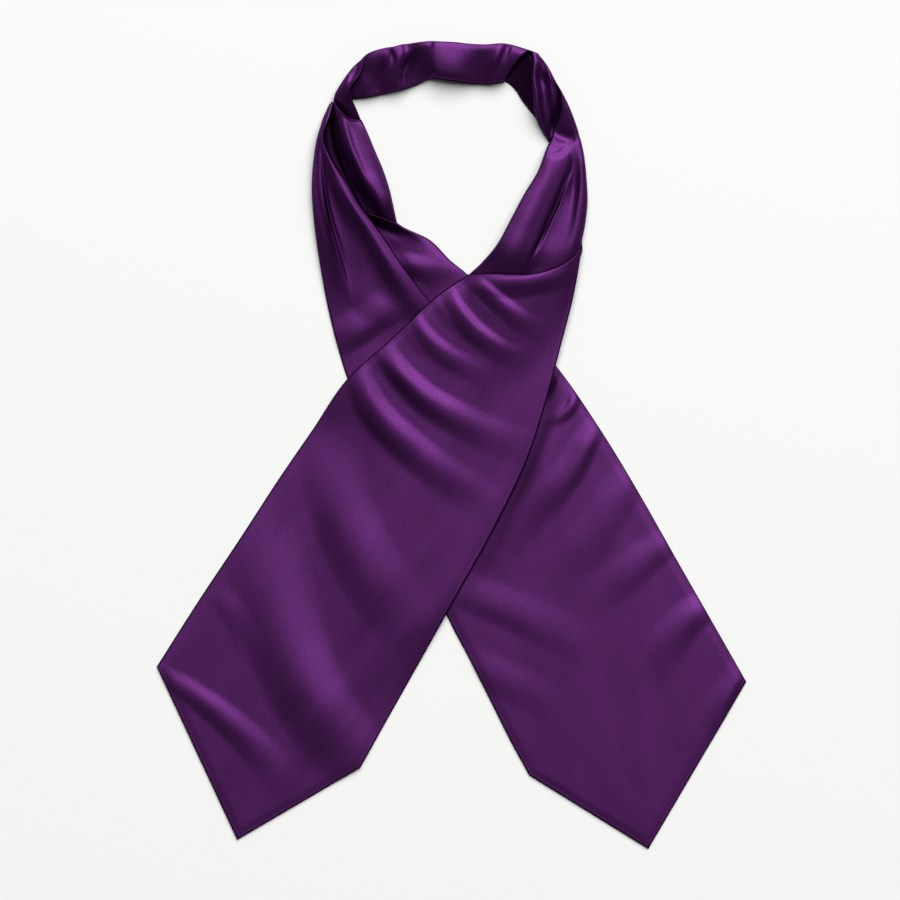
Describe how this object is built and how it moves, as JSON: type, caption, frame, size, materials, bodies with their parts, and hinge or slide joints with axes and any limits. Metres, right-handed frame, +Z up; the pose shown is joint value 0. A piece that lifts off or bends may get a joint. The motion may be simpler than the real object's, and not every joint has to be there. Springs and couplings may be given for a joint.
{
  "type": "silk cravat",
  "caption": "Satin silk cravat laid flat, its pointed ends crossed below a gathered neck loop.",
  "frame": {"origin": "on the table, under the middle of the cravat's outline", "axes": "+Y from the pointed ends towards the neck loop, +X to the right seen from above, +Z up from the table"},
  "size_m": [0.3874, 0.5304, 0.0179],
  "materials": {
    "satin_silk": "purple satin silk, glossy on folds"
  },
  "bodies": {
    "root": {"neck_back": "satin_silk", "left_corner": "satin_silk", "left_inner_roll": "satin_silk", "left_strand": "satin_silk", "left_back_fold": "satin_silk", "right_corner": "satin_silk", "right_strand": "satin_silk", "under_blade": "satin_silk", "upper_blade": "satin_silk"}
  },
  "joints": []
}
